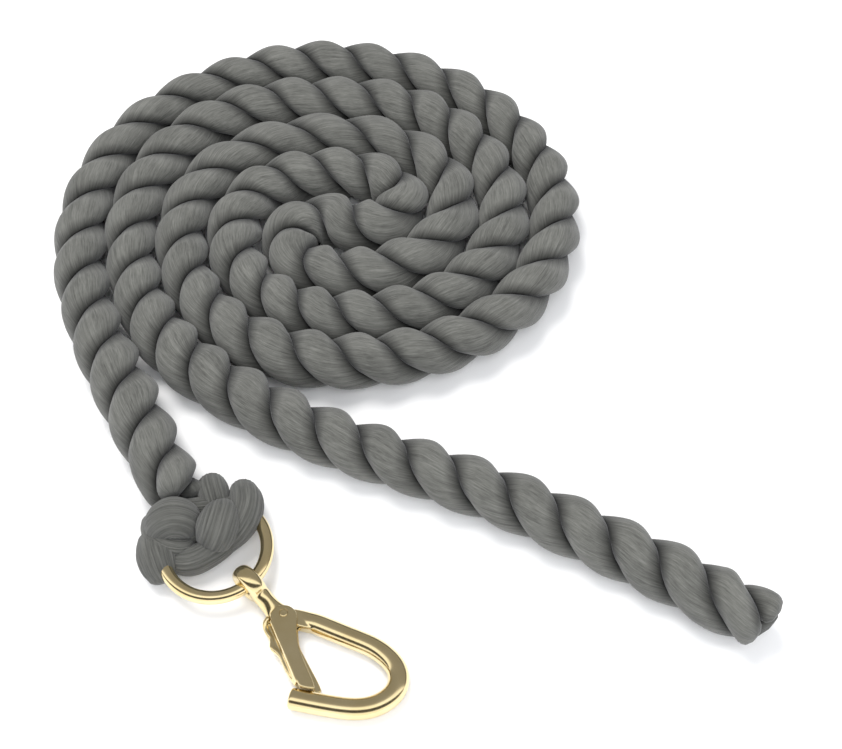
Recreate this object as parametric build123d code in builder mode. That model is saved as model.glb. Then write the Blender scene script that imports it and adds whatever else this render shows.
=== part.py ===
"""Lead rope with a brass trigger clip.

A three-strand cotton rope, right-hand laid, lies on the floor in a flat
double-armed coil that turns back on itself in an S at its heart.  Both ends
leave the coil: the lead runs to an eye worked round a brass ring that carries
the clip, the tail is free.

Frame: millimetres, +Z up, floor at z = 0, origin on the floor under the S at
the heart of the coil.  The ring and clip lie on the -Y side of the coil, and
the tail runs out towards +X and -Y.
"""
from build123d import *
from bisect import bisect_right
from typing import NamedTuple
import math
import os

os.makedirs("parts", exist_ok=True)

# ---------------------------------------------------------------- rope sizes
FLOOR_GAP = 0.05          # under the lowest point of a strand


class Rope(NamedTuple):
    """Cross-section of the laid rope."""
    strand_r: float       # radius of one strand
    helix_r: float        # strand centre to rope centre

    @property
    def axis_z(self):
        return FLOOR_GAP + self.strand_r + self.helix_r


COIL_ROPE = Rope(4.25, 5.75)    # where the turns press together
FREE_ROPE = Rope(4.6, 6.1)      # lead and tail

STRANDS = 3
LAY_STEP = 360 / STRANDS  # degrees from one groove to the next
LAY_PHASE = 150.0         # degrees, strand 0 at the zero groove
ZERO_GROOVE = 2           # index in LAY_MARKS
HEADING_STEP = 0.05       # half the span a strand's heading is measured over
RUN_LENGTH = 25.0         # strands are swept in runs of about this length
POINT_PITCH = 6.0         # spacing of the points along a run, about

# Distances along the rope, from the first point of ROPE_AXIS
LEAD_START = 16.0         # the strands leave the eye here
LEAD_BEND_AT = 62.0       # the coil meets the lead
TAIL_BEND_AT = 1672.0     # the coil meets the tail
TAIL_TIPS = (1862.0, 1869.0, 1857.0)    # staggered end of each strand
BEND_OVERRUN = 15.0       # a free end is swept this far past its bend, then trimmed

KNUCKLE_R = 12.0          # a free end is rounded to this radius at its bend
KNUCKLE_GAP = 0.35        # between that end and the hollow in the coil
CUTTER_Z = 12.0           # mid-height of the bend cutters
CUTTER_LENGTH = 40.0
CUTTER_WIDTH = 60.0
CUTTER_HEIGHT = 40.0

# x, y of the rope's centreline, from the eye through the coil to the tail
ROPE_AXIS = [
    (-48.5, -140.5), (-56.1, -128.7), (-63.5, -116.8), (-70.6, -104.8), (-77.6, -92.7), (-84.4, -80.4),
    (-90.9, -68.0), (-96.7, -55.3), (-101.8, -42.3), (-105.8, -28.9), (-108.6, -15.1), (-109.8, -1.2),
    (-109.4, 12.8), (-107.0, 26.5), (-102.6, 39.8), (-96.3, 52.4), (-88.4, 63.9), (-78.8, 74.0),
    (-67.8, 82.7), (-55.8, 89.9), (-43.1, 95.9), (-29.8, 100.1), (-16.0, 102.2), (-2.0, 102.0),
    (11.7, 99.6), (25.1, 95.2), (37.7, 89.1), (49.5, 81.6), (60.2, 72.6), (69.6, 62.3),
    (77.5, 50.7), (83.6, 38.2), (87.9, 24.8), (89.9, 11.1), (89.5, -2.9), (86.6, -16.7),
    (81.5, -29.8), (74.2, -41.7), (64.9, -52.0), (53.9, -60.4), (41.5, -66.8), (28.2, -71.2),
    (14.2, -73.5), (0.2, -73.7), (-13.7, -71.7), (-26.8, -67.3), (-39.0, -60.5), (-49.5, -51.3),
    (-57.8, -40.0), (-63.2, -27.2), (-66.7, -13.6), (-66.9, 0.3), (-63.5, 13.9), (-56.8, 26.2),
    (-47.3, 36.4), (-35.6, 43.8), (-22.3, 48.3), (-8.4, 50.3), (5.6, 49.7), (19.0, 46.1),
    (31.1, 39.3), (38.3, 32.3), (43.6, 23.8), (46.6, 14.2), (46.9, 4.2), (44.3, -5.3),
    (39.3, -14.0), (32.5, -21.2), (24.2, -26.5), (14.9, -29.9), (0.6, -31.2), (-9.3, -29.1),
    (-17.3, -23.9), (-20.7, -18.5), (-22.0, -12.3), (-20.1, -6.3), (-15.4, -1.7), (-9.3, 0.4),
    (-3.0, -0.3), (6.9, -3.0), (16.5, -2.4), (21.7, 1.3), (24.9, 7.2), (25.0, 13.4),
    (22.0, 19.1), (17.2, 23.6), (8.5, 27.9), (-1.3, 29.5), (-15.6, 28.3), (-28.9, 23.8),
    (-36.7, 18.0), (-42.3, 10.0), (-45.6, 0.6), (-46.3, -9.4), (-44.5, -19.3), (-40.4, -28.6),
    (-34.4, -36.5), (-26.8, -42.9), (-14.4, -49.0), (-0.8, -52.0), (13.3, -52.2), (27.1, -49.8),
    (40.0, -44.8), (51.3, -36.5), (60.2, -25.5), (66.1, -12.8), (68.6, 0.7), (68.1, 14.5),
    (64.7, 28.1), (58.9, 41.0), (50.8, 52.6), (40.7, 62.4), (29.0, 69.7), (16.0, 74.0),
    (2.1, 75.3), (-12.1, 75.2), (-26.2, 74.8), (-39.9, 72.7), (-52.7, 67.5), (-64.2, 59.4),
    (-73.7, 49.1), (-81.0, 37.2), (-86.0, 24.1), (-88.5, 10.4), (-88.8, -3.6), (-87.0, -17.5),
    (-83.7, -31.1), (-78.8, -44.2), (-71.9, -56.3), (-63.1, -67.2), (-53.2, -77.1), (-42.3, -86.0),
    (-30.8, -93.9), (-18.7, -100.8), (-6.1, -107.0), (6.8, -112.4), (19.9, -117.4), (33.0, -122.4),
    (46.0, -127.5), (58.9, -133.0), (71.5, -138.9), (84.0, -145.3), (96.4, -151.9), (108.5, -158.8),
    (120.6, -165.9), (132.5, -173.3), (146.9, -182.3),
]

# Distance along the rope of each groove between strands
LAY_MARKS = [
    -18.7, 0.7, 20.1, 39.5, 59.5, 79.8, 100.0, 120.5, 141.7, 164.0, 187.3, 211.1,
    234.8, 257.7, 279.9, 301.9, 324.3, 347.8, 371.7, 395.1, 417.3, 438.4, 459.3, 480.8,
    502.6, 524.0, 544.2, 563.2, 581.6, 599.9, 618.5, 637.8, 657.4, 677.0, 696.9, 717.9,
    740.2, 763.4, 787.1, 811.3, 835.6, 859.2, 881.7, 904.7, 928.8, 954.3, 981.0, 1008.1,
    1034.5, 1059.2, 1081.7, 1102.3, 1121.7, 1140.6, 1160.2, 1178.7, 1195.8, 1212.3, 1229.8, 1248.3,
    1267.2, 1286.6, 1307.1, 1328.8, 1350.8, 1372.5, 1393.6, 1414.7, 1435.9, 1457.2, 1478.8, 1500.8,
    1523.2, 1545.7, 1567.6, 1588.2, 1607.3, 1625.6, 1643.9, 1663.1, 1682.4, 1701.3, 1719.7, 1737.9,
    1756.5, 1775.7, 1794.9, 1813.8, 1832.2, 1849.9, 1867.4, 1885.1, 1903.0,
]


def save(part, name):
    part.label = name
    export_step(part, f"parts/{name}.step")


# ------------------------------------------------------------- rope geometry
with BuildLine() as rope_line:
    Spline(*ROPE_AXIS)
rope_edge = rope_line.edges()[0]


def rope_centre(s):
    """Point on the rope's centreline and its unit direction, s along it."""
    point = rope_edge.position_at(s, position_mode=PositionMode.LENGTH)
    heading = rope_edge.tangent_at(s, position_mode=PositionMode.LENGTH)
    return point, heading


def grooves_passed(s):
    """Grooves passed at distance s, by a smooth cubic through LAY_MARKS."""
    marks = LAY_MARKS
    # the cubic needs one mark before its interval and one after
    i = max(1, min(len(marks) - 3, bisect_right(marks, s) - 1))
    gap = marks[i + 1] - marks[i]
    slope_start = 2.0 / (marks[i + 1] - marks[i - 1])
    slope_end = 2.0 / (marks[i + 2] - marks[i])
    u = (s - marks[i]) / gap
    return (
        (i - ZERO_GROOVE)
        + u * u * (3 - 2 * u)
        + gap * slope_start * u * (1 - u) ** 2
        + gap * slope_end * u * u * (u - 1)
    )


def strand_point(k, s, rope):
    point, heading = rope_centre(s)
    angle = math.radians(LAY_PHASE + LAY_STEP * (grooves_passed(s) + k))
    sideways = math.cos(angle) * rope.helix_r
    upward = math.sin(angle) * rope.helix_r
    return Vector(
        point.X - heading.Y * sideways,
        point.Y + heading.X * sideways,
        rope.axis_z + upward,
    )


def strand_heading(k, s, rope):
    ahead = strand_point(k, s + HEADING_STEP, rope)
    behind = strand_point(k, s - HEADING_STEP, rope)
    return (ahead - behind).normalized()


def split_evenly(start, end, count):
    return [start + (end - start) * i / count for i in range(count + 1)]


def strand_path(k, start, end, rope):
    """Centre of strand k, as a chain of short smooth runs."""
    run_ends = split_evenly(start, end, max(1, round((end - start) / RUN_LENGTH)))
    chain = []
    for a, b in zip(run_ends, run_ends[1:]):
        stations = split_evenly(a, b, max(3, round((b - a) / POINT_PITCH)))
        chain.append(
            Edge.make_spline(
                [strand_point(k, s, rope) for s in stations],
                tangents=[strand_heading(k, a, rope), strand_heading(k, b, rope)],
            )
        )
    return Wire(chain)


# ------------------------------------------------------------- bend cutters
def bend_frame(s):
    """Plane on the floor under the rope, x along the rope."""
    point, heading = rope_centre(s)
    return Plane(origin=(point.X, point.Y, 0), x_dir=(heading.X, heading.Y, 0), z_dir=(0, 0, 1))


def bend_drum(s):
    """Upright drum that hollows the coil's end to clear a free end."""
    with BuildPart(bend_frame(s)) as drum:
        with Locations((0, 0, CUTTER_Z)):
            Cylinder(KNUCKLE_R + KNUCKLE_GAP, CUTTER_HEIGHT)
    return drum.part


def bend_trim(s, side):
    """Block beyond (+1) or before (-1) the bend that rounds a free end."""
    with BuildPart(bend_frame(s)) as trim:
        with Locations((side * CUTTER_LENGTH / 2, 0, CUTTER_Z)):
            Box(CUTTER_LENGTH, CUTTER_WIDTH, CUTTER_HEIGHT)
        with Locations((0, 0, CUTTER_Z)):
            Cylinder(KNUCKLE_R, 1.5 * CUTTER_HEIGHT, mode=Mode.SUBTRACT)
    return trim.part


# ------------------------------------------------------------- strands
def build_strand(section, k, start, end, rope, cutters, ball_at=None):
    """One strand; ball_at = 0 or 1 rounds the start or end of its path."""
    path = strand_path(k, start, end, rope)
    with BuildPart() as strand:
        with BuildSketch(Plane(origin=path @ 0, z_dir=path % 0)):
            Circle(rope.strand_r)
        sweep(path=path, is_frenet=True, clean=False)
        if ball_at is not None:
            with Locations(path @ ball_at):
                Sphere(rope.strand_r)
        for cutter in cutters:
            add(cutter, mode=Mode.SUBTRACT, clean=False)
    save(strand.part, f"{section}_strand_{k + 1}")


coil_cutters = [bend_drum(LEAD_BEND_AT), bend_drum(TAIL_BEND_AT)]
lead_cutters = [bend_trim(LEAD_BEND_AT, +1)]
tail_cutters = [bend_trim(TAIL_BEND_AT, -1)]
for k in range(STRANDS):
    build_strand("coil", k, LEAD_BEND_AT, TAIL_BEND_AT, COIL_ROPE, coil_cutters)
    build_strand("lead", k, LEAD_START, LEAD_BEND_AT + BEND_OVERRUN, FREE_ROPE,
                 lead_cutters, ball_at=0)
    build_strand("tail", k, TAIL_BEND_AT - BEND_OVERRUN, TAIL_TIPS[k], FREE_ROPE,
                 tail_cutters, ball_at=1)

# ------------------------------------------------------------- the ring
RING_CENTRE = (-38.5, -153.35, 8.4)
RING_R = 18.0             # to the centre of the wire
RING_WIRE_R = 2.35
RING_TILT = math.radians(4.5)
RING_LIFTED_BEARING = 125.0     # degrees, the side the tilt lifts


def towards(bearing):
    """Level unit vector on a bearing in degrees, anticlockwise from +X."""
    angle = math.radians(bearing)
    return Vector(math.cos(angle), math.sin(angle), 0)


def wire_centre(bearing):
    """Centre of the ring's wire on a bearing from the ring's centre."""
    fall_off = math.cos(math.radians(bearing - RING_LIFTED_BEARING))
    lift = math.tan(RING_TILT) * RING_R * fall_off
    return Vector(*RING_CENTRE) + towards(bearing) * RING_R + Vector(0, 0, lift)


def build_ring():
    lifted = towards(RING_LIFTED_BEARING)
    lean = math.sin(RING_TILT)
    plane = Plane(
        origin=RING_CENTRE,
        x_dir=(lifted.Y, -lifted.X, 0),
        z_dir=(-lifted.X * lean, -lifted.Y * lean, math.cos(RING_TILT)),
    )
    with BuildPart(plane) as ring:
        Torus(RING_R, RING_WIRE_R)
    save(ring.part, "ring")


build_ring()

# ------------------------------------------------------------- the eye
# Four flattened turns of strand pass over the wire, round its inner side and
# back out underneath, side by side round the rope half of the ring.
FIRST_TURN_BEARING = 201.0
TURN_PITCH = 49.0                       # degrees
TURN_END_R = (25.5, 25.0, 25.0, 25.5)   # ring centre to the end of each turn
TURN_HALF_WIDTH = 5.0
TURN_HALF_THICK = 2.9
TURN_CLEAR = 0.35                       # between the wire and a turn


def build_eye_turn(n):
    bearing = FIRST_TURN_BEARING - n * TURN_PITCH
    out = towards(bearing)
    reach = TURN_END_R[n] - RING_R
    bow_r = RING_WIRE_R + TURN_CLEAR + TURN_HALF_THICK
    side = Plane(origin=wire_centre(bearing), x_dir=out, z_dir=out.cross(Vector(0, 0, 1)))
    with BuildPart() as turn:
        with BuildLine(side) as turn_path:
            Line((reach, bow_r), (0, bow_r))
            CenterArc((0, 0), bow_r, 90, 180)
            Line((0, -bow_r), (reach, -bow_r))
        with BuildSketch(Plane(origin=turn_path.line @ 0, x_dir=side.z_dir, z_dir=-out)):
            Ellipse(TURN_HALF_WIDTH, TURN_HALF_THICK)
        sweep(path=turn_path.line)
        # rounded ends
        for end in (turn_path.line @ 0, turn_path.line @ 1):
            with BuildSketch(Plane(origin=end, x_dir=side.z_dir, z_dir=out)):
                with BuildLine():
                    half = EllipticalCenterArc(
                        (0, 0), TURN_HALF_WIDTH, TURN_HALF_THICK, 0, arc_size=180
                    )
                    Line(half @ 0, half @ 1)
                make_face()
            revolve(axis=Axis(end, side.z_dir))
    save(turn.part, f"eye_turn_{n + 1}")


for n in range(len(TURN_END_R)):
    build_eye_turn(n)

# ------------------------------------------------------------- the clip
CLIP_Z = 3.6              # mid-plane shared by the bar, head, gate and spring
RIVET = (-13.2, -176.7)
RIVET_R = 1.4


def slab_base(thickness):
    """Underside of a level slab centred on the clip's mid-plane."""
    return Plane.XY.offset(CLIP_Z - thickness / 2)


# Body
EYE_BEARING = -44.0       # where the clip's eye sits on the ring
EYE_HOLE_R = 3.1
EYE_THICK = 3.7
EYE_HALF_WIDTH = 3.3
NECK_START = 4.3          # from the eye's centre, along the clip
NECK_END = 11.4
NECK_START_DROP = 0.8
NECK_START_RADII = (2.85, 2.6)    # across, upright
NECK_END_RADII = (3.25, 2.2)
HEAD_THICK = 4.7
BAR_R = 3.55
BAR_ROOT_R = 2.3          # where the bar dies into the head
BAR_ROOT_LENGTH = 5.0
BODY_HOLE_CLEAR = 0.02    # round the rivet
SLOT_AT = (-9.35, -180.6)
SLOT_SIZE = (0.85, 4.6, 3.4)

# x, y of the bar's centre: spine, bend and tip
HOOK_PATH = [
    (-0.6, -179.9), (5.9, -182.65), (12.4, -185.35), (17.6, -187.8), (22.0, -191.1),
    (24.9, -194.9), (25.7, -198.9), (24.4, -202.8), (21.2, -205.9), (16.5, -207.9),
    (10.1, -208.35), (3.6, -207.5), (-2.9, -206.3), (-7.6, -205.3),
]
# x, y outlines
HEAD_OUTLINE = [
    (-19.4, -175.4), (-16.2, -171.9), (-10.5, -172.9), (0.2, -176.6),
    (-2.1, -183.0), (-7.5, -181.6), (-11.0, -180.6), (-13.2, -180.8), (-15.2, -180.1),
    (-16.8, -178.6), (-18.0, -177.0),
]


def build_clip_body():
    eye_at = wire_centre(EYE_BEARING)
    along = towards(EYE_BEARING)                # from the ring to the clip
    across = Vector(-along.Y, along.X, 0)
    neck_start = eye_at + along * NECK_START + Vector(0, 0, -NECK_START_DROP)
    neck_end = Vector(eye_at.X, eye_at.Y, CLIP_Z) + along * NECK_END
    with BuildPart() as clip_body:
        # eye loop, standing across the ring's wire
        with BuildSketch(Plane(origin=eye_at, x_dir=along, z_dir=(0, 0, 1))):
            with Locations((EYE_HOLE_R + EYE_THICK / 2, 0)):
                Ellipse(EYE_THICK / 2, EYE_HALF_WIDTH)
        revolve(axis=Axis(eye_at, across))
        # neck, flattening towards the head
        with BuildSketch(Plane(origin=neck_start, x_dir=across, z_dir=along)):
            Ellipse(*NECK_START_RADII)
        with BuildSketch(Plane(origin=neck_end, x_dir=across, z_dir=along)):
            Ellipse(*NECK_END_RADII)
        loft(ruled=True)
        # thin head carrying the rivet
        with BuildSketch(slab_base(HEAD_THICK)):
            with BuildLine():
                Polyline(*HEAD_OUTLINE, close=True)
            make_face()
        extrude(amount=HEAD_THICK)
        # round bar
        with BuildLine():
            hook = Spline(*[(x, y, CLIP_Z) for x, y in HOOK_PATH])
        root = hook @ 0
        heading = hook % 0
        with BuildSketch(Plane(origin=root, z_dir=heading)):
            Circle(BAR_R)
        sweep(path=hook)
        # the bar thins down into the head
        with BuildSketch(Plane(origin=root, z_dir=heading)):
            Circle(BAR_R)
        with BuildSketch(Plane(origin=root + heading * -BAR_ROOT_LENGTH, z_dir=heading)):
            Circle(BAR_ROOT_R)
        loft()
        # rounded tip
        with Locations(hook @ 1):
            Sphere(BAR_R)
        # rivet hole, cut right through, and the slot that holds the spring
        with Locations((*RIVET, CLIP_Z)):
            Cylinder(RIVET_R + BODY_HOLE_CLEAR, 10, mode=Mode.SUBTRACT)
        with Locations((*SLOT_AT, CLIP_Z)):
            Box(*SLOT_SIZE, mode=Mode.SUBTRACT)
    save(clip_body.part, "clip_body")


build_clip_body()

# Gate: two cheeks joined by a web down the -X side, a thumb rib on the web
GATE_THICK = 7.0
CHEEK_THICK = 1.0
RIB_THICK = 3.4
GATE_HOLE_CLEAR = 0.07    # round the rivet
CHEEK_OUTLINE = [
    (-18.1, -177.2), (-17.3, -174.9), (-15.3, -173.1), (-12.9, -172.4), (-10.4, -172.9),
    (-8.9, -174.7), (-8.5, -177.5), (-8.6, -183.5), (-8.3, -188.6), (-1.5, -202.3),
    (-5.5, -201.7), (-7.1, -201.2),
]
WEB_OUTLINE = [
    (-17.1, -179.6), (-7.1, -201.2), (-5.5, -201.7), (-1.5, -202.3), (-2.7, -199.8),
    (-6.3, -199.5), (-16.3, -180.2),
]
RIB_OUTLINE = [
    (-20.2, -178.7), (-19.2, -181.7), (-17.5, -185.2), (-16.8, -187.2), (-13.4, -192.2),
    (-7.8, -200.9), (-6.6, -200.4), (-16.3, -180.1), (-18.3, -178.5),
]


def build_gate():
    base = slab_base(GATE_THICK)
    with BuildPart() as gate:
        for cheek_base in (base, base.offset(GATE_THICK - CHEEK_THICK)):
            with BuildSketch(cheek_base):
                with BuildLine():
                    Polyline(*CHEEK_OUTLINE, close=True)
                make_face()
                with Locations(RIVET):
                    Circle(RIVET_R + GATE_HOLE_CLEAR, mode=Mode.SUBTRACT)
            extrude(amount=CHEEK_THICK)
        for outline, thickness in ((WEB_OUTLINE, GATE_THICK), (RIB_OUTLINE, RIB_THICK)):
            with BuildSketch(slab_base(thickness)):
                with BuildLine():
                    Polyline(*outline, close=True)
                make_face()
            extrude(amount=thickness)
    save(gate.part, "gate")


build_gate()

# Rivet: a pin through gate and head, with a low head on top
PIN_BOTTOM = 0.12
PIN_TOP = 7.2
RIVET_HEAD_LIP = 0.5
RIVET_HEAD_THICK = 0.3
RIVET_HEAD_FILLET = 0.2


def build_gate_rivet():
    with BuildPart() as gate_rivet:
        with Locations((*RIVET, (PIN_BOTTOM + PIN_TOP) / 2)):
            Cylinder(RIVET_R, PIN_TOP - PIN_BOTTOM)
        with BuildSketch(Plane.XY.offset(PIN_TOP)):
            with Locations(RIVET):
                Circle(RIVET_R + RIVET_HEAD_LIP)
        extrude(amount=RIVET_HEAD_THICK)
        fillet(gate_rivet.faces().sort_by(Axis.Z)[-1].edges(), RIVET_HEAD_FILLET)
    save(gate_rivet.part, "gate_rivet")


build_gate_rivet()

# Spring: a leaf held in the head's slot, its free end bent towards the web
SPRING_HEIGHT = 2.8
SPRING_OUTLINE = [
    (-9.57, -178.8), (-9.57, -182.3), (-9.72, -185.4), (-10.66, -189.2),
    (-10.24, -189.3), (-9.28, -185.3), (-9.13, -182.3), (-9.13, -178.8),
]


def build_gate_spring():
    with BuildPart() as gate_spring:
        with BuildSketch(slab_base(SPRING_HEIGHT)):
            with BuildLine():
                Polyline(*SPRING_OUTLINE, close=True)
            make_face()
        extrude(amount=SPRING_HEIGHT)
    save(gate_spring.part, "gate_spring")


build_gate_spring()
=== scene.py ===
"""A three-strand lead rope in a flat coil, with an eye and a brass clip at one end.

The rope lies on the floor (z = 0) coiled round the origin. The eye and the clip are towards -Y,
the free tail runs out towards +X and -Y. The scene is in metres, +Z up; meshes are worked out
in millimetres and scaled by MM.
"""
import math

import bpy
import numpy as np
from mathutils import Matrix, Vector


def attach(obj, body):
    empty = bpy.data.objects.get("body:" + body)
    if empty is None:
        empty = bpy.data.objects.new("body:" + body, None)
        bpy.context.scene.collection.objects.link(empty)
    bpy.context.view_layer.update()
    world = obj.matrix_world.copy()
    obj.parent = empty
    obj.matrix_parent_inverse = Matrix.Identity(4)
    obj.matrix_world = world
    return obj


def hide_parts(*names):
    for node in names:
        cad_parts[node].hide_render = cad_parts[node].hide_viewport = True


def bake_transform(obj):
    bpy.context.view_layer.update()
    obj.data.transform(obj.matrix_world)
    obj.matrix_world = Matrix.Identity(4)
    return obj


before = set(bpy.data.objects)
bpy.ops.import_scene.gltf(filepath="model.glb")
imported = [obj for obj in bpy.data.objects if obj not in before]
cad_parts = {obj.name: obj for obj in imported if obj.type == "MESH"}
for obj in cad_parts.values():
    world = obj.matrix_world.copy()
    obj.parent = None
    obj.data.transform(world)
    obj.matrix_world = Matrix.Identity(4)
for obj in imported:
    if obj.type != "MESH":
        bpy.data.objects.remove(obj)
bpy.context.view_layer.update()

MM = 0.001

# ---------------------------------------------------------------- the rope's line
# x, y of the rope's centre in mm, from the eye to the tail.
ROPE_AXIS = [
    (-48.5, -140.5), (-56.1, -128.7), (-63.5, -116.8), (-70.6, -104.8), (-77.6, -92.7),
    (-84.4, -80.4), (-90.9, -68.0), (-96.7, -55.3), (-101.8, -42.3), (-105.8, -28.9),
    (-108.6, -15.1), (-109.8, -1.2), (-109.4, 12.8), (-107.0, 26.5), (-102.6, 39.8),
    (-96.3, 52.4), (-88.4, 63.9), (-78.8, 74.0), (-67.8, 82.7), (-55.8, 89.9), (-43.1, 95.9),
    (-29.8, 100.1), (-16.0, 102.2), (-2.0, 102.0), (11.7, 99.6), (25.1, 95.2), (37.7, 89.1),
    (49.5, 81.6), (60.2, 72.6), (69.6, 62.3), (77.5, 50.7), (83.6, 38.2), (87.9, 24.8),
    (89.9, 11.1), (89.5, -2.9), (86.6, -16.7), (81.5, -29.8), (74.2, -41.7), (64.9, -52.0),
    (53.9, -60.4), (41.5, -66.8), (28.2, -71.2), (14.2, -73.5), (0.2, -73.7), (-13.7, -71.7),
    (-26.8, -67.3), (-39.0, -60.5), (-49.5, -51.3), (-57.8, -40.0), (-63.2, -27.2),
    (-66.7, -13.6), (-66.9, 0.3), (-63.5, 13.9), (-56.8, 26.2), (-47.3, 36.4), (-35.6, 43.8),
    (-22.3, 48.3), (-8.4, 50.3), (5.6, 49.7), (19.0, 46.1), (31.1, 39.3), (38.3, 32.3),
    (43.6, 23.8), (46.6, 14.2), (46.9, 4.2), (44.3, -5.3), (39.3, -14.0), (32.5, -21.2),
    (24.2, -26.5), (14.9, -29.9), (0.6, -31.2), (-9.3, -29.1), (-17.3, -23.9), (-20.7, -18.5),
    (-22.0, -12.3), (-20.1, -6.3), (-15.4, -1.7), (-9.3, 0.4), (-3.0, -0.3), (6.9, -3.0),
    (16.5, -2.4), (21.7, 1.3), (24.9, 7.2), (25.0, 13.4), (22.0, 19.1), (17.2, 23.6),
    (8.5, 27.9), (-1.3, 29.5), (-15.6, 28.3), (-28.9, 23.8), (-36.7, 18.0), (-42.3, 10.0),
    (-45.6, 0.6), (-46.3, -9.4), (-44.5, -19.3), (-40.4, -28.6), (-34.4, -36.5), (-26.8, -42.9),
    (-14.4, -49.0), (-0.8, -52.0), (13.3, -52.2), (27.1, -49.8), (40.0, -44.8), (51.3, -36.5),
    (60.2, -25.5), (66.1, -12.8), (68.6, 0.7), (68.1, 14.5), (64.7, 28.1), (58.9, 41.0),
    (50.8, 52.6), (40.7, 62.4), (29.0, 69.7), (16.0, 74.0), (2.1, 75.3), (-12.1, 75.2),
    (-26.2, 74.8), (-39.9, 72.7), (-52.7, 67.5), (-64.2, 59.4), (-73.7, 49.1), (-81.0, 37.2),
    (-86.0, 24.1), (-88.5, 10.4), (-88.8, -3.6), (-87.0, -17.5), (-83.7, -31.1), (-78.8, -44.2),
    (-71.9, -56.3), (-63.1, -67.2), (-53.2, -77.1), (-42.3, -86.0), (-30.8, -93.9),
    (-18.7, -100.8), (-6.1, -107.0), (6.8, -112.4), (19.9, -117.4), (33.0, -122.4),
    (46.0, -127.5), (58.9, -133.0), (71.5, -138.9), (84.0, -145.3), (96.4, -151.9),
    (108.5, -158.8), (120.6, -165.9), (132.5, -173.3), (146.9, -182.3),
]
# Distances along the rope, mm, at which a groove between two strands lies on top: one every
# third of a turn.
GROOVES = [
    -18.7, 0.8, 20.3, 39.3, 59.5, 79.9, 100.0, 120.2, 141.4, 163.8, 187.1, 211.1,
    235.0, 257.9, 280.0, 301.7, 324.0, 347.6, 371.9, 395.5, 417.6, 438.5, 459.1, 480.6,
    502.8, 524.4, 544.5, 563.5, 581.6, 599.8, 618.4, 637.6, 657.5, 677.0, 696.5, 717.5,
    740.0, 763.2, 787.0, 811.2, 835.8, 859.5, 882.2, 904.2, 924.2, 942.2, 960.2, 978.5,
    995.4, 1010.8, 1026.9, 1045.5, 1065.8, 1085.4, 1103.4, 1121.1, 1140.4, 1160.5, 1179.2,
    1195.9, 1212.0, 1229.5, 1248.2, 1267.1, 1286.2, 1306.8, 1328.8, 1351.0, 1372.6, 1393.6,
    1414.6, 1435.9, 1457.1, 1478.6, 1500.6, 1523.1, 1545.9, 1568.0, 1588.6, 1607.6, 1625.5,
    1643.6, 1663.0, 1682.6, 1701.5, 1719.8, 1737.8, 1756.3, 1775.7, 1795.0, 1813.9, 1832.4,
    1850.0, 1867.0, 1885.0, 1903.0, 1921.0,
]

ROPE_WIDTH = 22.0
ROPE_Z = 10.9           # height of the rope's centre
FLOOR_GAP = 0.25        # lowest a strand may reach
LOBE_AT = 4.7           # centre of a strand's rounded outer face, out from the rope's centre
LOBE_R = 6.3            # and its radius
SKEW = 0.62             # mm a section leans along the rope per mm across it
STRAND_STEP = 1.15
SWELL = 0.016           # slow change in a strand's thickness
RIDGE = 0.06            # height of the yarns on a strand
YARN_WAVES = (2.3, 3.1, 4.3, 6.5)


def unit(vectors):
    return vectors / np.linalg.norm(vectors, axis=-1, keepdims=True)


def run_length(points):
    """Distance travelled at each point of a polyline."""
    return np.r_[0, np.cumsum(np.linalg.norm(np.diff(points, axis=0), axis=1))]


def natural_spline(t, y, x):
    """Values at x of the natural cubic spline through y(t)."""
    count = len(t)
    gap = np.diff(t)
    matrix = np.zeros((count, count))
    right = np.zeros((count,) + y.shape[1:])
    matrix[0, 0] = matrix[-1, -1] = 1
    for i in range(1, count - 1):
        matrix[i, i - 1:i + 2] = gap[i - 1], 2 * (gap[i - 1] + gap[i]), gap[i]
        right[i] = 6 * ((y[i + 1] - y[i]) / gap[i] - (y[i] - y[i - 1]) / gap[i - 1])
    bend = np.linalg.solve(matrix, right)
    i = np.clip(np.searchsorted(t, x) - 1, 0, count - 2)
    h = (t[i + 1] - t[i])[:, None]
    a = (t[i + 1] - x)[:, None]
    b = (x - t[i])[:, None]
    cubic = (bend[i] * a**3 + bend[i + 1] * b**3) / (6 * h)
    return cubic + (y[i] / h - bend[i] * h / 6) * a + (y[i + 1] / h - bend[i + 1] * h / 6) * b


def smooth_curve(stations, step, fewest):
    """Resample (x, y, z, ...) stations every step mm: the points and their headings."""
    stations = np.array(stations, float)
    t = run_length(stations[:, :3])
    count = max(fewest, int(t[-1] / step))
    curve = natural_spline(t, stations, np.linspace(0, t[-1], count))
    return curve, unit(np.gradient(curve[:, :3], axis=0))


def smooth(values, sigma, step):
    """Gaussian smoothing of evenly spaced values."""
    reach = int(3 * sigma / step)
    weights = np.exp(-0.5 * (np.arange(-reach, reach + 1) * step / sigma) ** 2)
    weights /= weights.sum()
    return np.convolve(np.pad(values, reach, mode="edge"), weights, mode="valid")


def smooth_noise(seed, count, sigma):
    """A smooth random line of unit size."""
    values = smooth(np.random.default_rng(seed).standard_normal(count), sigma, 1.0)
    return values / values.std()


def soft_floor(z, blend, limit):
    """Ease heights to stay above the floor; limit * blend is the most they rise above it."""
    lifted = np.exp(np.clip((z - FLOOR_GAP) / blend, -30, limit))
    return FLOOR_GAP + blend * np.log1p(lifted)


_axis = np.array(ROPE_AXIS, float)
_axis_t = run_length(_axis)
LINE = natural_spline(_axis_t, _axis, np.linspace(0, _axis_t[-1], 12000))
LINE_S = run_length(LINE)
LENGTH = LINE_S[-1]


def line_at(s):
    return np.c_[np.interp(s, LINE_S, LINE[:, 0]), np.interp(s, LINE_S, LINE[:, 1])]


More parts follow.
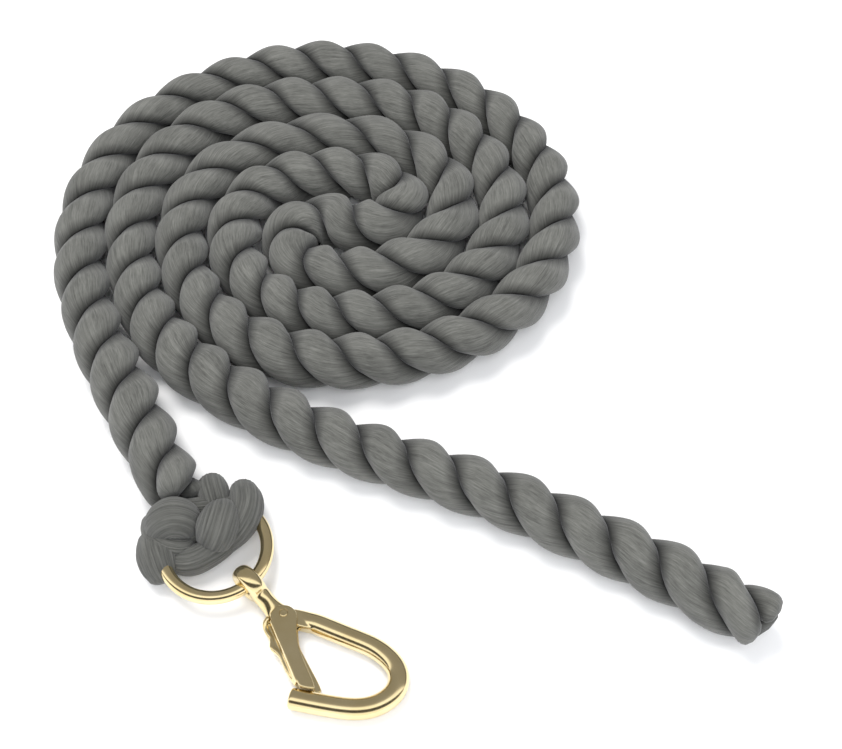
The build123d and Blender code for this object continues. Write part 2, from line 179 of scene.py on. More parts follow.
def centre(s):
    """Centre points, headings and left normals at distances s, which may pass the ends."""
    s = np.asarray(s, float)
    inside = np.clip(s, 0, LENGTH)
    reach = 1.5
    ahead = np.clip(inside + reach, 0, LENGTH)
    behind = np.clip(inside - reach, 0, LENGTH)
    heading = unit(line_at(ahead) - line_at(behind))
    points = line_at(inside) + heading * (s - inside)[:, None]
    return points, heading, np.c_[-heading[:, 1], heading[:, 0]]


LAY_S = np.arange(-45.0, 1930.0, 1.0)
LAY = smooth(np.interp(LAY_S, GROOVES, np.arange(len(GROOVES)) - 2.0), 7.0, 1.0)

TURN_STEP = 4.0
TURN_S = np.arange(0.0, LENGTH, TURN_STEP)


def side_width(sign):
    """How wide the rope is pressed on its left (1) or right (-1), where turns lie together."""
    points, heading, left = centre(TURN_S)
    gap = np.full(len(TURN_S), 99.0)
    for i in range(len(TURN_S)):
        offset = points - points[i]
        across = sign * (offset @ left[i])
        ahead = np.abs(offset @ heading[i])
        beside = (across > 8) & (ahead < 7) & (np.abs(TURN_S - TURN_S[i]) > 40)
        if beside.any():
            gap[i] = across[beside].min()
    width = np.clip(gap / 2 / (ROPE_WIDTH / 2) * 1.06, 0.95, 1.30)
    far = np.clip((gap - 27.5) / 5.0, 0, 1)     # 1 where no turn touches
    return smooth(width * (1 - far) + far, 14.0, TURN_STEP)


LEFT_WIDTH, RIGHT_WIDTH = side_width(1), side_width(-1)

# ---------------------------------------------------------------- strands
# Half angle of the outer face, to where it meets the planes shared with the other strands.
CORNER = math.acos(
    ((LOBE_AT + math.sqrt(4 * LOBE_R**2 - 3 * LOBE_AT**2)) / 4 - LOBE_AT) / LOBE_R)


def hold_in_third(rho, tau):
    """Keep the distance round, tau, just inside the strand's third of the rope."""
    limit = np.maximum(1.732 * rho - 0.12, 0.05)
    return np.clip(tau, -limit, limit)


def section():
    """One strand's outline across the rope, pressed flat against its two neighbours.

    Returns distance out, distance round, distance along the outline, and a weight of 1 on the
    outer face fading to 0 at its corners.
    """
    turn = np.linspace(-CORNER, CORNER, 33)
    rho = LOBE_AT + LOBE_R * np.cos(turn)
    tau = LOBE_R * np.sin(turn)
    face = np.clip((CORNER - np.abs(turn)) / 0.25, 0, 1)
    inward = np.linspace(1, 0.09, 7)[1:]
    rho = np.r_[rho, rho[-1] * inward, rho[0] * inward[::-1]]
    tau = np.r_[tau, tau[-1] * inward, tau[0] * inward[::-1]]
    side_arc = LOBE_R * CORNER + np.arange(1, 7) * 1.2
    arc = np.r_[LOBE_R * turn, side_arc, -side_arc[::-1]]
    return rho, hold_in_third(rho, tau), arc, np.r_[face, np.zeros(12)]


def yarn_ridges(across, along, seed):
    """Low ridges of yarn: mostly constant along the strand, wandering slowly."""
    rng = np.random.default_rng(seed)
    total = np.zeros_like(across)
    for wave in YARN_WAVES:
        phase = rng.uniform(0, 6.283, 3)
        height = rng.uniform(0.6, 1.0)
        slow = 0.7 * np.sin(along / rng.uniform(23, 60) + phase[1])
        quick = 0.3 * np.sin(along / rng.uniform(9, 17) + phase[2])
        total += height * np.sin(across * 6.283 / wave + phase[0] + (slow + quick))
    return total / len(YARN_WAVES)


def link(name, data):
    """Put a new object in the scene."""
    obj = bpy.data.objects.new(name, data)
    bpy.context.scene.collection.objects.link(obj)
    return obj


def shade_smooth(mesh):
    mesh.polygons.foreach_set("use_smooth", np.ones(len(mesh.polygons), bool))


def tube(name, rings, fib, crest):
    """Closed tube through rings (n, m, 3) in mm, with flat, sharp-edged ends.

    The point attributes drive the cotton: fib is a position along the yarns, crest weights the
    painted groove shade, 0 in the grooves, where it is darkest, and 1 on the crowns.
    """
    n, m, _ = rings.shape
    row = np.arange(n - 1)[:, None] * m
    j = np.arange(m)[None, :]
    j_next = (j + 1) % m
    quads = np.stack([row + j, row + j_next, row + m + j_next, row + m + j], -1).reshape(-1, 4)
    count = len(quads)
    loops = np.concatenate([quads.ravel(), np.arange(m)[::-1], (n - 1) * m + np.arange(m)])
    starts = np.concatenate([np.arange(count) * 4, [count * 4, count * 4 + m]])
    mesh = bpy.data.meshes.new(name)
    mesh.vertices.add(n * m)
    mesh.vertices.foreach_set("co", (rings * MM).ravel())
    mesh.loops.add(len(loops))
    mesh.loops.foreach_set("vertex_index", loops.astype(np.int32))
    mesh.polygons.add(count + 2)
    mesh.polygons.foreach_set("loop_start", starts.astype(np.int32))
    mesh.update(calc_edges=True)
    mesh.validate()
    fib_data = mesh.attributes.new("fib", "FLOAT_VECTOR", "POINT").data
    fib_data.foreach_set("vector", fib.astype(np.float32).ravel())
    crest_data = mesh.attributes.new("crest", "FLOAT", "POINT").data
    crest_data.foreach_set("value", crest.astype(np.float32).ravel())
    shade_smooth(mesh)
    end_edges = {key for face in mesh.polygons[-2:] for key in face.edge_keys}
    sharp = (mesh.attributes.get("sharp_edge")
             or mesh.attributes.new("sharp_edge", "BOOLEAN", "EDGE"))
    for edge in mesh.edges:
        if edge.key in end_edges:
            sharp.data[edge.index].value = True
    return link(name, mesh)


def strand(name, k, start, end, start_tip=None, end_tip=None):
    """Strand k of the laid rope between two distances; a tip is the length of a blunt end."""
    s = np.linspace(start, end, max(8, int((end - start) / STRAND_STEP)))
    along = s[:, None]
    rho, tau, arc, face = section()
    outer = face > 0
    # crest weights the painted groove shade: 0 towards the creases between strands, 1 on the crown
    crest = np.tile(np.clip((np.hypot(rho, tau) - 7.1) / 3.3, 0, 1) * outer, (len(s), 1))
    # yarns lie along the rope on its surface
    yarn = arc + 1.047 * along + 37.0 * k
    ridge = yarn_ridges(yarn, along, 7 + k) * RIDGE
    swell = 1 + SWELL * np.interp(along, np.arange(2000), smooth_noise(40 + k, 2000, 16.0))
    grow = np.where(outer, swell + ridge * face / LOBE_R, 1.0)
    rho = LOBE_AT + (rho - LOBE_AT) * grow
    tau = hold_in_third(rho, tau * grow)
    for length, from_end in ((end_tip, end - along), (start_tip, along - start)):
        if length is not None:
            closing = 1 - np.clip(from_end / length, 0, 1)
            shrink = 0.42 + 0.58 * np.sqrt(np.clip(1 - closing**2, 0, 1))
            rho = 5.4 + (rho - 5.4) * shrink
            tau = tau * shrink
            # the painted groove shade is mostly lifted at the cut ends, so they show the same
            # cotton as the outside
            crest = np.maximum(crest, 0.6 * (1 - np.clip(from_end / (1.2 * length), 0, 1)))
    angle = np.radians(150.0 + 120.0 * (np.interp(along, LAY_S, LAY) + k))
    left = rho * np.cos(angle) - tau * np.sin(angle)
    up = rho * np.sin(angle) + tau * np.cos(angle)
    # the lean steepens the strands over the top of the rope, and eases off at both ends
    skew = SKEW * np.clip((1868.0 - along) / 22.0, 0.35, 1) * np.clip((along - 2.0) / 22.0, 0.3, 1)
    leaned = along + skew * left
    points, _, normals = (v.reshape(*leaned.shape, 2) for v in centre(leaned.ravel()))
    blend = 0.5 + 0.5 * np.tanh(left / 3.0)
    width = (np.interp(leaned, TURN_S, LEFT_WIDTH) * blend
             + np.interp(leaned, TURN_S, RIGHT_WIDTH) * (1 - blend))
    z = soft_floor(ROPE_Z + up * (1 - 0.22 * (width - 1)), 0.7, 30)
    rings = np.dstack([points + normals * (left * width)[..., None], z])
    fib = np.dstack([yarn, np.broadcast_to(along, yarn.shape), np.full_like(yarn, 13.7 * k)])
    return tube(name, rings, fib, crest)


def sausage(name, stations, seed, flat):
    """A plump strand through (x, y, z, radius) stations, flat times as wide as it is high."""
    sides_count, ridge_height, yarns, cap_rings = 112, 0.15, 23, 8
    core, heading = smooth_curve(stations, step=0.6, fewest=16)
    # round both ends
    turn = np.linspace(0.06, 1, cap_rings + 1)[:-1] * math.pi / 2
    reach = 0.9 * np.cos(turn)[:, None]
    size = np.sin(turn)
    first, last = core[0, 3], core[-1, 3]
    points = np.vstack([core[0, :3] - heading[0] * first * reach, core[:, :3],
                        core[-1, :3] + heading[-1] * last * reach[::-1]])
    radius = np.r_[first * size, core[:, 3], last * size[::-1]][:, None]
    heading = np.vstack([np.tile(heading[0], (cap_rings, 1)), heading,
                         np.tile(heading[-1], (cap_rings, 1))])
    # carry the sideways direction along without twisting
    side = unit(np.cross(heading[0], (0, 0, 1.0)))
    sides = []
    for direction in heading:
        side = unit(side - direction * (side @ direction))
        sides.append(side)
    sides = np.array(sides)
    ups = np.cross(sides, heading)
    arc = run_length(points)[:, None]
    theta = np.linspace(-math.pi, math.pi, sides_count, endpoint=False)
    rng = np.random.default_rng(seed)
    bump = np.zeros((len(points), sides_count))
    for count in (yarns, yarns - 6, yarns + 9):
        phase = rng.uniform(0, 6.28, 3)
        wander = 1.5 * np.sin(arc / 9 + phase[1])
        bump += np.cos(count * theta + phase[0] + wander) * rng.uniform(0.6, 1)
    bump *= ridge_height / 2.2
    slow = np.sin(arc / 5 + rng.uniform(0, 6)) * np.cos(2 * theta + rng.uniform(0, 6))
    girth = radius * (1 + 0.03 * slow) + bump * np.clip(radius / radius.max(), 0, 1)
    rings = (points[:, None, :] + sides[:, None, :] * (np.cos(theta) * girth * flat)[:, :, None]
             + ups[:, None, :] * (np.sin(theta) * girth)[:, :, None])
    rings[:, :, 2] = soft_floor(rings[:, :, 2], 0.5, 60)
    fib = np.dstack([np.broadcast_to(theta * radius.max(), bump.shape),
                     np.broadcast_to(arc, bump.shape), np.full_like(bump, seed * 5.3)])
    # painted shade in the dips between the yarn ridges; these crest values also dim the whole
    # strand a little
    crown = 0.5 + 0.5 * np.clip(bump / (0.55 * ridge_height), -1, 1)
    return tube(name, rings, fib, 0.34 + 0.4 * crown)


# ---------------------------------------------------------------- shader helpers
def feed(tree, target, inputs):
    """Set or link a node's inputs: a socket is linked, anything else is a value."""
    for key, value in inputs.items():
        if isinstance(value, bpy.types.NodeSocket):
            tree.links.new(value, target.inputs[key])
        else:
            target.inputs[key].default_value = value


def node(tree, kind, inputs=None, **settings):
    made = tree.nodes.new(kind)
    for key, value in settings.items():
        setattr(made, key, value)
    feed(tree, made, inputs or {})
    return made


def maths(tree, operation, *values):
    inputs = dict(enumerate(values))
    return node(tree, "ShaderNodeMath", inputs, operation=operation).outputs[0]


def object_coords(tree):
    return node(tree, "ShaderNodeTexCoord").outputs["Object"]


def noise(tree, vector, scale, detail, roughness=0.5):
    inputs = {"Vector": vector, "Scale": scale, "Detail": detail, "Roughness": roughness}
    return node(tree, "ShaderNodeTexNoise", inputs).outputs["Fac"]


def remap(tree, value, low, high, from_max=1.0):
    """Map 0 .. from_max to low .. high."""
    inputs = {"Value": value, "From Max": from_max, "To Min": low, "To Max": high}
    return node(tree, "ShaderNodeMapRange", inputs).outputs["Result"]


def colour_ramp(tree, value, stops):
    """Colour ramp through (position, (r, g, b)) stops."""
    made = node(tree, "ShaderNodeValToRGB", {"Fac": value})
    elements = made.color_ramp.elements
    for i in (0, -1):
        elements[i].position = stops[i][0]
        elements[i].color = (*stops[i][1], 1)
    for position, colour in stops[1:-1]:
        elements.new(position).color = (*colour, 1)
    return made.outputs["Color"]


def bump_normal(tree, height, strength, distance):
    inputs = {"Strength": strength, "Distance": distance, "Height": height}
    return node(tree, "ShaderNodeBump", inputs).outputs["Normal"]


def material(name):
    made = bpy.data.materials.new(name)
    made.use_nodes = True
    return made, made.node_tree, made.node_tree.nodes["Principled BSDF"]


# ---------------------------------------------------------------- materials
def cotton(name, dark, light, groove, bump):
    """Soft spun cotton: yarn streaks, uneven dye, a dusty sheen, and painted shade that darkens
    the grooves down to groove times the colour.
    """
    made, tree, bsdf = material(name)
    fib = node(tree, "ShaderNodeAttribute", attribute_name="fib").outputs["Vector"]

    def streaks(stretch, detail, roughness):
        """Noise in (across, along, strand) coordinates, drawn out along the yarn."""
        scaled = node(tree, "ShaderNodeVectorMath", {0: fib, 1: stretch}, operation="MULTIPLY")
        return noise(tree, scaled.outputs[0], 1.0, detail, roughness)

    fine = streaks(stretch=(1.9, 0.10, 1.0), detail=4.0, roughness=0.6)
    broad = streaks(stretch=(0.62, 0.045, 1.0), detail=3.0, roughness=0.55)
    hair = streaks(stretch=(4.6, 0.30, 1.0), detail=2.0, roughness=0.6)
    mottle = noise(tree, object_coords(tree), scale=55.0, detail=4.0, roughness=0.6)
    # the weight of each noise in the tone; the subtraction recentres the sum
    tone = maths(tree, "MULTIPLY", broad, 0.30)
    tone = maths(tree, "MULTIPLY_ADD", fine, 0.55, tone)
    tone = maths(tree, "MULTIPLY_ADD", mottle, 0.28, tone)
    tone = maths(tree, "SUBTRACT", tone, 0.21)
    tone = maths(tree, "MULTIPLY_ADD", hair, 0.42, tone)
    crest = node(tree, "ShaderNodeAttribute", attribute_name="crest").outputs["Fac"]
    # painted shade: the colour is multiplied down to groove where crest is 0, in the grooves, and
    # left as it is on the crowns
    shade = node(tree, "ShaderNodeMix", {
        "Factor": 1.0,
        "A": colour_ramp(tree, tone, [(0.36, dark), (0.76, light)]),
        "B": remap(tree, crest, low=groove, high=1.0, from_max=0.86),
    }, data_type="RGBA", blend_type="MULTIPLY")
    grain = maths(tree, "MULTIPLY_ADD", hair, 0.6, fine)
    feed(tree, bsdf, {
        "Base Color": shade.outputs["Result"],
        "Normal": bump_normal(tree, grain, strength=bump, distance=0.0006),
        "Roughness": remap(tree, fine, low=0.82, high=0.98),
        "Specular IOR Level": 0.15,
        "Sheen Weight": 0.25,
        "Sheen Roughness": 0.55,
        "Sheen Tint": (0.75, 0.76, 0.78, 1),
    })
    return made


def brass(name, rough):
    """Polished cast brass: faint casting ripple and a fine polishing haze."""
    red, green, blue = 0.84, 0.71, 0.44
    made, tree, bsdf = material(name)
    coords = object_coords(tree)
    ripple = noise(tree, coords, scale=90.0, detail=3.0)
    haze = noise(tree, coords, scale=900.0, detail=4.0)
    stops = [(0.35, (red * 0.93, green * 0.9, blue * 0.82)), (0.7, (red, green, blue))]
    feed(tree, bsdf, {
        "Base Color": colour_ramp(tree, ripple, stops),
        "Roughness": remap(tree, haze, low=rough - 0.04, high=rough + 0.1),
        "Normal": bump_normal(tree, ripple, strength=0.05, distance=0.0005),
        "Metallic": 1.0,
    })
    return made


def spring_steel():
    made, tree, bsdf = material("spring_steel")
    grain = noise(tree, object_coords(tree), scale=700.0, detail=3.0)
    feed(tree, bsdf, {
        "Metallic": 1.0,
        "Roughness": remap(tree, grain, low=0.25, high=0.45),
        "Base Color": (0.50, 0.50, 0.48, 1),
    })
    return made


# groove is how dark the painted shade in the grooves goes: near black on the rope, milder on the
# eye
ROPE = cotton("cotton_rope", dark=(0.058, 0.0585, 0.0535), light=(0.176, 0.177, 0.163),
              groove=0.05, bump=0.32)
KNOT = cotton("cotton_eye", dark=(0.060, 0.0605, 0.0555), light=(0.178, 0.179, 0.165),
              groove=0.38, bump=0.6)
BRASS = brass("brass_clip", rough=0.13)
BRASS_RING = brass("brass_ring", rough=0.11)
STEEL = spring_steel()


def wear(obj, mat):
    obj.data.materials.clear()
    obj.data.materials.append(mat)


def dress(obj, mat, stands_for):
    """Give a piece its material and the frame piece it replaces."""
    wear(obj, mat)
    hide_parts(stands_for)


# ---------------------------------------------------------------- the rope
LEAD_START, COIL_START, COIL_END = 6.0, 104.0, 1628.0
TAIL_ENDS = (1873.5, 1873.5, 1872.5)


def rope():
    for k in range(3):
        spans = {
            "lead": (LEAD_START, COIL_START, 5.0, None),
            "coil": (COIL_START, COIL_END, None, None),
            "tail": (COIL_END, TAIL_ENDS[k], None, 4.0),
        }
        made = {}
        for part, span in spans.items():
            made[part] = strand(f"{part}_strand_{k + 1}_cotton", k, *span)
            dress(made[part], ROPE, f"{part}_strand_{k + 1}")
        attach(made["coil"], "coil")
        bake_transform(made["lead"])
        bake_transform(made["tail"])


rope()

# ---------------------------------------------------------------- the eye
# Name, frame piece, width over height, (x, y, z, radius) stations.
EYE = [
    ("eye_strand_over_left", "eye_turn_2", 1.0, [
        (-57.81, -145.77, 7.0, 5.8), (-56.61, -145.32, 12.0, 6.9), (-53.35, -144.31, 13.4, 7.5),
        (-50.78, -144.25, 12.2, 7.0), (-50.14, -144.46, 7.5, 5.4)]),
    ("eye_strand_band", "eye_turn_2", 1.05, [
        (-62.51, -142.96, 8.4, 2.8), (-61.17, -147.17, 9.6, 3.4), (-58.02, -150.79, 9.8, 3.5),
        (-54.02, -152.71, 9.4, 3.5), (-50.17, -152.18, 8.0, 3.2), (-48.42, -149.18, 6.0, 2.6)]),
    ("eye_strand_outer", "eye_turn_1", 1.36, [
        (-60.94, -149.39, 6.4, 4.0), (-59.80, -153.24, 7.8, 4.7), (-58.26, -157.11, 8.6, 4.9),
        (-57.01, -160.03, 7.6, 4.5), (-56.13, -161.41, 5.8, 3.9)]),
    ("eye_strand_under", "eye_turn_1", 1.05, [
        (-52.29, -156.05, 5.0, 4.2), (-47.28, -156.64, 5.4, 4.9), (-42.28, -154.43, 5.6, 5.0),
        (-37.76, -150.93, 5.6, 4.9), (-34.05, -146.68, 5.0, 4.4)]),
    ("eye_strand_middle", "eye_turn_3", 1.36, [
        (-37.48, -140.12, 10.5, 4.8), (-37.10, -144.62, 13.6, 5.5), (-37.64, -147.76, 13.6, 5.6),
        (-38.84, -149.59, 11.2, 5.2), (-40.37, -149.74, 7.8, 4.4)]),
    ("eye_strand_over_right", "eye_turn_4", 1.0, [
        (-30.7, -130.4, 7.0, 5.2), (-29.26, -134.77, 9.6, 6.0), (-28.65, -139.89, 10.8, 6.1),
        (-30.19, -144.01, 9.6, 5.8), (-32.98, -147.17, 7.4, 5.2), (-36.21, -149.84, 5.0, 4.2)]),
    ("eye_strand_top", "eye_turn_3", 1.0, [
        (-42.44, -127.73, 7.4, 5.0), (-40.82, -132.84, 9.8, 5.6), (-39.41, -136.98, 9.2, 5.2)]),
    ("eye_strand_back", "eye_turn_3", 1.0, [
        (-50.17, -138.70, 9.4, 3.9), (-43.80, -138.12, 9.8, 4.0), (-35.31, -138.12, 9.8, 4.0),
        (-30.35, -138.70, 9.4, 4.0)]),
    ("eye_strand_heart", "eye_turn_1", 1.0, [
        (-57.72, -148.53, 5.5, 4.6), (-49.19, -145.63, 6.0, 5.2), (-41.07, -142.45, 6.0, 5.2),
        (-31.59, -137.61, 6.0, 4.6)]),
]
for _i, (_name, _stands_for, _flat, _stations) in enumerate(EYE):
    _piece = sausage(_name, _stations, seed=11 + _i, flat=_flat)
    dress(_piece, KNOT, _stands_for)
    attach(_piece, "lead")


# ---------------------------------------------------------------- the metal
PIVOT = (-13.2, -176.7)     # x, y of the gate's rivet
MID_Z = 3.6                 # height of the middle of the hook and the gate
BAR_R = 3.55                # the hook's bar

# The clip's eye: EYE_REACH from a point on the ring, at the height of a plane that rises TILT
# towards TILT_BEARING.
BEARING = math.radians(-44.0)
ALONG = np.array((math.cos(BEARING), math.sin(BEARING), 0.0))
ACROSS = np.array((-math.sin(BEARING), math.cos(BEARING), 0.0))
EYE_REACH = 18.0
TILT, TILT_BEARING = math.radians(4.5), math.radians(125.0)
EYE_RISE = math.tan(TILT) * EYE_REACH * math.cos(BEARING - TILT_BEARING)
EYE_AT = np.array((-38.5 + EYE_REACH * math.cos(BEARING),
                   -153.35 + EYE_REACH * math.sin(BEARING), 8.4 + EYE_RISE))


class Shell:
    """Closed, overlapping surfaces given in mm, to be used as they are or skinned as one."""

    def __init__(self):
        self.verts, self.faces = [], []

    def rings(self, rings):
        """A closed skin through rings of points."""
        base, n, m = len(self.verts), len(rings), len(rings[0])
        self.verts += [tuple(p * MM) for ring in rings for p in ring]
        for i in range(n - 1):
            row = base + i * m
            for j in range(m):
                k = (j + 1) % m
                self.faces.append((row + j, row + k, row + m + k, row + m + j))
        self.faces.append(tuple(base + j for j in range(m))[::-1])
        self.faces.append(tuple(base + (n - 1) * m + j for j in range(m)))

    def bar(self, stations, dome):
        """A bar through (x, y, z, half width, half height) stations.

        Its ends are domed by dome times the half height.
        """
        curve, heading = smooth_curve(stations, step=0.4, fewest=8)
        theta = np.linspace(0, 2 * math.pi, 40, endpoint=False)
        out = []

        def ring(i, shift=0.0, size=1.0):
            side = unit(np.cross(heading[i], (0, 0, 1.0)))
            up = np.cross(side, heading[i])
            out.append(curve[i, :3] + heading[i] * shift
                       + side * (np.cos(theta) * (curve[i, 3] * size))[:, None]
                       + up * (np.sin(theta) * (curve[i, 4] * size))[:, None])

        def cap(i, bulge, growth):
            for g in growth:
                turn = g * math.pi / 2
                ring(i, math.cos(turn) * bulge * curve[i, 4], math.sin(turn) ** 0.8)

        growth = np.linspace(0.08, 1, 7)[:-1]
        cap(0, -dome[0], growth)
        for i in range(len(curve)):
            ring(i)
        cap(-1, dome[1], growth[::-1])
        self.rings(out)

    def plate(self, outline, bottom, top, ease, rounds=2):
        """A plate with edges eased by ease and corners cut rounds times."""
        q = np.array(outline, float)
        for _ in range(rounds):
            after = np.roll(q, -1, axis=0)
            q = np.stack([q * 0.78 + after * 0.22, q * 0.22 + after * 0.78], 1).reshape(-1, 2)
        after = np.roll(q, -1, axis=0)
        if np.sum(q[:, 0] * after[:, 1] - after[:, 0] * q[:, 1]) < 0:
            q = q[::-1]     # anticlockwise
        run = unit(np.roll(q, -1, axis=0) - np.roll(q, 1, axis=0))
        inward = np.c_[-run[:, 1], run[:, 0]]
        levels = []
        for degrees in (0, 25, 50, 75, 90):
            a = math.radians(degrees)
            levels.append((ease * (1 - math.sin(a)), bottom + ease * (1 - math.cos(a))))
        levels += [(inset, bottom + top - z) for inset, z in levels[::-1]]
        self.rings([np.c_[q + inward * inset, np.full(len(q), z)] for inset, z in levels])

    def loop(self, middle, radius, thick, wide, n=72, m=36):
        """An eye standing in the plane of ALONG and +Z: an oval section round a circle."""
        base = len(self.verts)
        for i in range(n):
            a = 2 * math.pi * i / n
            out = ALONG * math.cos(a) + np.array((0, 0, 1.0)) * math.sin(a)
            for j in range(m):
                b = 2 * math.pi * j / m
                p = middle + out * (radius + thick * math.cos(b)) + ACROSS * (wide * math.sin(b))
                self.verts.append(tuple(p * MM))
        for i in range(n):
            row, after = base + i * m, base + (i + 1) % n * m
            for j in range(m):
                k = (j + 1) % m
                self.faces.append((row + j, row + k, after + k, after + j))

    def build(self, name):
        mesh = bpy.data.meshes.new(name)
        mesh.from_pydata(self.verts, [], self.faces)
        mesh.update()
        return link(name, mesh)

    def skin(self, name, voxel, rounds, hole):
        """Fuse into one casting, ease it and drill the rivet hole (bottom, top, radius)."""
        obj = self.build(name)
        fuse = obj.modifiers.new("skin", "REMESH")
        fuse.mode = "VOXEL"
        fuse.voxel_size = voxel * MM
        ease = obj.modifiers.new("ease", "SMOOTH")
        ease.factor, ease.iterations = 0.5, rounds
        bottom, top, radius = hole
        bpy.ops.mesh.primitive_cylinder_add(
            vertices=48, radius=radius * MM, depth=(top - bottom) * MM,
            location=(PIVOT[0] * MM, PIVOT[1] * MM, (bottom + top) / 2 * MM))
        drill = bpy.context.object
        cut = obj.modifiers.new("hole", "BOOLEAN")
        cut.operation, cut.solver, cut.object = "DIFFERENCE", "EXACT", drill
        evaluated = obj.evaluated_get(bpy.context.evaluated_depsgraph_get())
        done = bpy.data.meshes.new_from_object(evaluated)
        obj.modifiers.clear()
        obj.data = done
        bpy.data.objects.remove(drill, do_unlink=True)
        done.name = name
        shade_smooth(done)
        return obj


# x, y along the hook's bar, from the head round to its free end.
HOOK = [
    (-0.6, -179.9), (5.9, -182.65), (12.4, -185.35), (17.6, -187.8), (22.0, -191.1),
    (24.9, -194.9), (25.7, -198.9), (24.4, -202.8), (21.2, -205.9), (16.5, -207.9),
    (10.1, -208.35), (3.6, -207.5), (-2.9, -206.3), (-8.9, -205.05),
]
# Bar from the head into the hook: x, y, z, half width, half height.
HOOK_ROOT = [(-11.6, -175.5, MID_Z, 1.3, 2.1), (-9.3, -176.1, MID_Z, 2.1, 2.2),
             (-6.9, -177.1, MID_Z, 2.7, 2.35), (-4.2, -178.35, MID_Z, 3.25, 3.15)]
# Neck: distance from the eye's centre along ALONG, z, half width, half height.
NECK = [(4.7, EYE_AT[2] - 0.1, 3.2, 3.1), (6.4, 6.3, 3.2, 3.0), (8.4, 5.3, 3.1, 2.8),
        (10.4, 4.4, 3.2, 2.5), (12.2, 3.8, 3.5, 2.3), (13.6, 3.6, 3.9, 2.3)]
HEAD = [(-17.8, -175.6), (-15.7, -173.5), (-10.5, -174.4), (-4.2, -175.9), (-1.4, -178.0),
        (-2.1, -182.4), (-7.5, -181.2), (-11.0, -180.2), (-13.2, -180.3), (-14.8, -179.6),
        (-16.3, -178.2), (-17.3, -177.0)]


def clip_casting():
    """Eye, neck, head and hook in one casting."""
    shell = Shell()
    shell.loop(EYE_AT, radius=4.8, thick=2.12, wide=3.15)
    neck = [(*(EYE_AT + ALONG * distance)[:2], *rest) for distance, *rest in NECK]
    shell.bar(neck, dome=(0.3, 0.5))
    shell.plate(HEAD, bottom=1.25, top=5.9, ease=0.6)
    shell.bar(HOOK_ROOT + [(x, y, MID_Z, BAR_R, BAR_R) for x, y in HOOK], dome=(0.9, 0.32))
    clip = shell.skin("clip_casting", voxel=0.25, rounds=14, hole=(0.5, 6.6, 1.42))
    dress(clip, BRASS, "clip_body")
    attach(clip, "clip")


# Outlines of the gate's plates, x, y.
GATE_UPPER = [(-18.4, -177.7), (-16.6, -174.9), (-14.5, -173.5), (-11.3, -173.9),
              (-8.75, -176.1), (-8.45, -179.8), (-8.4, -182.7), (-7.5, -187.9), (-6.1, -191.8),
              (-0.7, -202.9), (-3.2, -202.95), (-5.6, -202.4), (-6.8, -201.7)]
GATE_LOWER = [(-17.9, -178.2), (-16.6, -175.2), (-14.5, -173.7), (-11.3, -173.9),
              (-8.75, -176.1), (-8.5, -179.8), (-8.4, -182.7), (-7.6, -186.6), (-5.4, -190.4),
              (0.4, -200.6), (0.3, -202.2), (-3.2, -202.6), (-5.5, -201.8), (-6.7, -201.2)]
GATE_MIDDLE = [(-18.2, -178.6), (-19.0, -180.4), (-16.4, -185.8), (-16.4, -187.4),
               (-14.4, -189.5), (-7.6, -200.2), (-7.2, -199.8), (-16.8, -179.3)]
# Walls between the upper and lower plates: x, y, half width.
GATE_WALL = [(-17.2, -179.4, 0.9), (-14.0, -186.1, 0.95), (-10.3, -193.8, 0.95),
             (-7.3, -200.2, 0.95)]
# Lip along the outside of the gate: x, y, z.
GATE_LIP = [(-18.5, -178.0, 5.2), (-19.3, -179.4, 4.8), (-19.3, -180.6, 4.4),
            (-18.0, -183.2, 4.1), (-16.6, -185.6, 4.0), (-16.5, -187.6, 4.0),
            (-14.7, -189.3, 4.0), (-11.3, -194.6, 4.0), (-7.7, -200.1, 4.0)]


def gate_casting():
    """Two plates joined by a wall along one side and across the end."""
    shell = Shell()
    shell.plate(GATE_UPPER, bottom=6.1, top=7.1, ease=0.42)
    shell.plate(GATE_LOWER, bottom=0.1, top=1.1, ease=0.42)
    shell.bar([(x, y, MID_Z, half, 3.47) for x, y, half in GATE_WALL], dome=(0.15, 0.12))
    shell.bar([(-6.4, -200.9, MID_Z, 0.6, 3.4), (-2.2, -201.5, MID_Z, 0.6, 3.4)],
              dome=(0.1, 0.1))
    shell.bar([(x, y, z, 0.95, 1.0) for x, y, z in GATE_LIP], dome=(0.7, 0.6))
    shell.plate(GATE_MIDDLE, bottom=2.7, top=4.7, ease=0.4)
    gate = shell.skin("gate_casting", voxel=0.21, rounds=9, hole=(-1.0, 8.5, 1.44))
    dress(gate, BRASS, "gate")
    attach(gate, "gate")


# Radius and height of the rivet, from the bottom to the top.
RIVET = [(1.0, 0.12), (1.3, 0.2), (1.38, 0.4), (1.38, 6.95), (1.34, 7.12), (1.2, 7.24),
         (0.95, 7.3), (0.6, 7.26), (0.25, 7.2)]


def rivet_pin():
    shell = Shell()
    theta = np.linspace(0, 2 * math.pi, 48, endpoint=False)
    shell.rings([np.c_[PIVOT[0] + np.cos(theta) * radius, PIVOT[1] + np.sin(theta) * radius,
                       np.full(48, z)] for radius, z in RIVET])
    rivet = shell.build("rivet_pin")
    shade_smooth(rivet.data)
    dress(rivet, BRASS, "gate_rivet")
    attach(rivet, "clip")


SPRING = [(-9.55, -178.9), (-9.55, -182.3), (-9.7, -185.4), (-10.6, -189.15),
          (-10.26, -189.25), (-9.3, -185.3), (-9.15, -182.3), (-9.15, -178.9)]


def spring_leaf():
    """The leaf spring, held by the head, its free end lying between the gate's plates."""
    shell = Shell()
    shell.plate(SPRING, bottom=2.25, top=4.95, ease=0.08, rounds=1)
    spring = shell.build("spring_leaf")
    fine = spring.modifiers.new("fine", "SUBSURF")
    fine.subdivision_type, fine.levels, fine.render_levels = "SIMPLE", 2, 2
    dress(spring, STEEL, "gate_spring")
    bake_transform(spring)


clip_casting()
gate_casting()
rivet_pin()
spring_leaf()

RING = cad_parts["ring"]
wear(RING, BRASS_RING)
shade_smooth(RING.data)


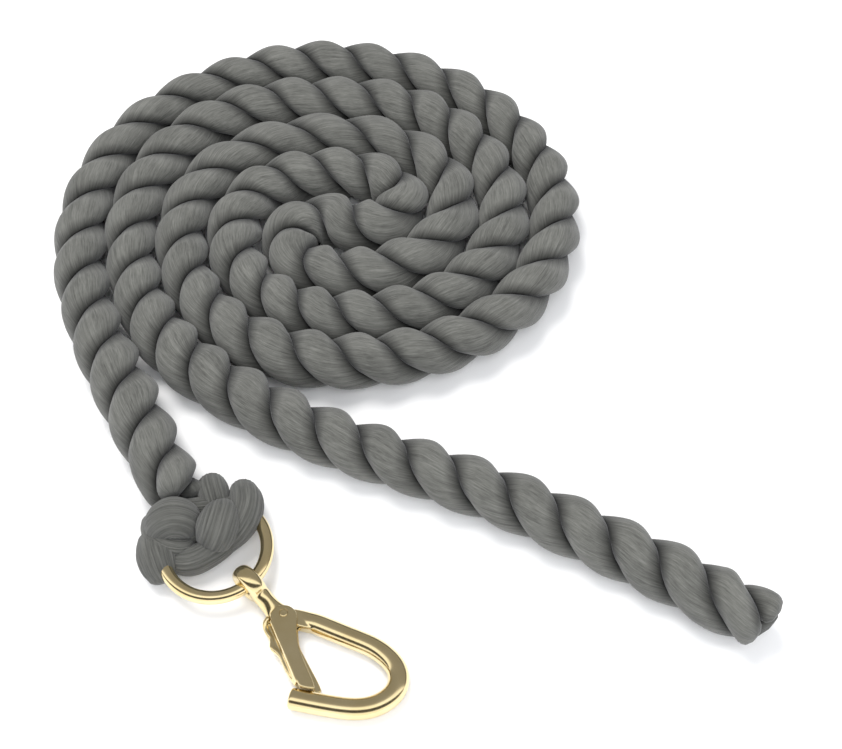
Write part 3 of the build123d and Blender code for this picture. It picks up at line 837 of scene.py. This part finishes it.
# ---------------------------------------------------------------- studio
def paper_floor():
    bpy.ops.mesh.primitive_plane_add(size=6, location=(0, 0, 0))
    floor = bpy.context.object
    floor.name = "floor"
    paper, tree, bsdf = material("floor_paper")
    feed(tree, bsdf, {"Base Color": (0.93, 0.93, 0.935, 1), "Roughness": 0.9,
                      "Specular IOR Level": 0.1})
    wear(floor, paper)


def softbox(name, location, target, size, power, colour):
    """A round area light aimed at target, unseen in reflections."""
    light = bpy.data.lights.new(name, "AREA")
    light.shape, light.size, light.energy, light.color = "DISK", size, power, colour
    obj = link(name, light)
    obj.location = location
    aim = Vector(target) - Vector(location)
    obj.rotation_euler = aim.to_track_quat("-Z", "Y").to_euler()
    obj.visible_glossy = False


# Grey levels of the reflected sky: 0 is the -Y horizon, 0.5 overhead, 1 the +Y horizon.
SKY_BANDS = [(0.13, 1.3), (0.165, 0.10), (0.31, 0.09), (0.35, 1.5), (0.46, 1.3), (0.52, 0.40),
             (0.60, 0.34), (0.72, 0.32), (0.86, 0.32)]


def studio_world():
    """Even pale light, except that reflections see bright and dark bands."""
    world = bpy.data.worlds.new("studio")
    bpy.context.scene.world = world
    world.use_nodes = True
    tree = world.node_tree
    direction = node(tree, "ShaderNodeTexCoord").outputs["Generated"]
    axes = node(tree, "ShaderNodeSeparateXYZ", {0: direction}).outputs
    forward = maths(tree, "MULTIPLY", axes["Y"], -1.0)
    angle = maths(tree, "ARCTAN2", axes["Z"], forward)
    bands = [(place, (grey, grey * 0.985, grey * 0.95)) for place, grey in SKY_BANDS]
    stops = [(0.0, (1.5, 1.47, 1.4)), *bands, (1.0, (0.40, 0.39, 0.37))]
    mix = node(tree, "ShaderNodeMix", {
        "Factor": node(tree, "ShaderNodeLightPath").outputs["Is Glossy Ray"],
        "A": (0.58, 0.585, 0.60, 1),
        "B": colour_ramp(tree, maths(tree, "DIVIDE", angle, math.pi), stops),
    }, data_type="RGBA")
    feed(tree, tree.nodes["Background"], {"Color": mix.outputs["Result"], "Strength": 1.0})


def camera():
    data = bpy.data.cameras.new("camera")
    obj = link("camera", data)
    obj.location = (0.033, -0.33787, 0.36512)
    obj.rotation_euler = (math.radians(36.0), 0, 0)
    data.sensor_fit = "HORIZONTAL"
    data.sensor_width = 36.0
    data.lens = 48.91
    data.clip_start = 0.01
    bpy.context.scene.camera = obj


paper_floor()
softbox("key", location=(-0.38, 0.42, 1.22), target=(0, -0.05, 0), size=0.8, power=15.0,
        colour=(1.0, 0.985, 0.96))
softbox("fill", location=(0.16, -0.60, 0.52), target=(0.03, -0.06, 0), size=1.0, power=4.8,
        colour=(0.97, 0.985, 1.0))
studio_world()
camera()
bpy.context.scene.view_settings.view_transform = "Standard"
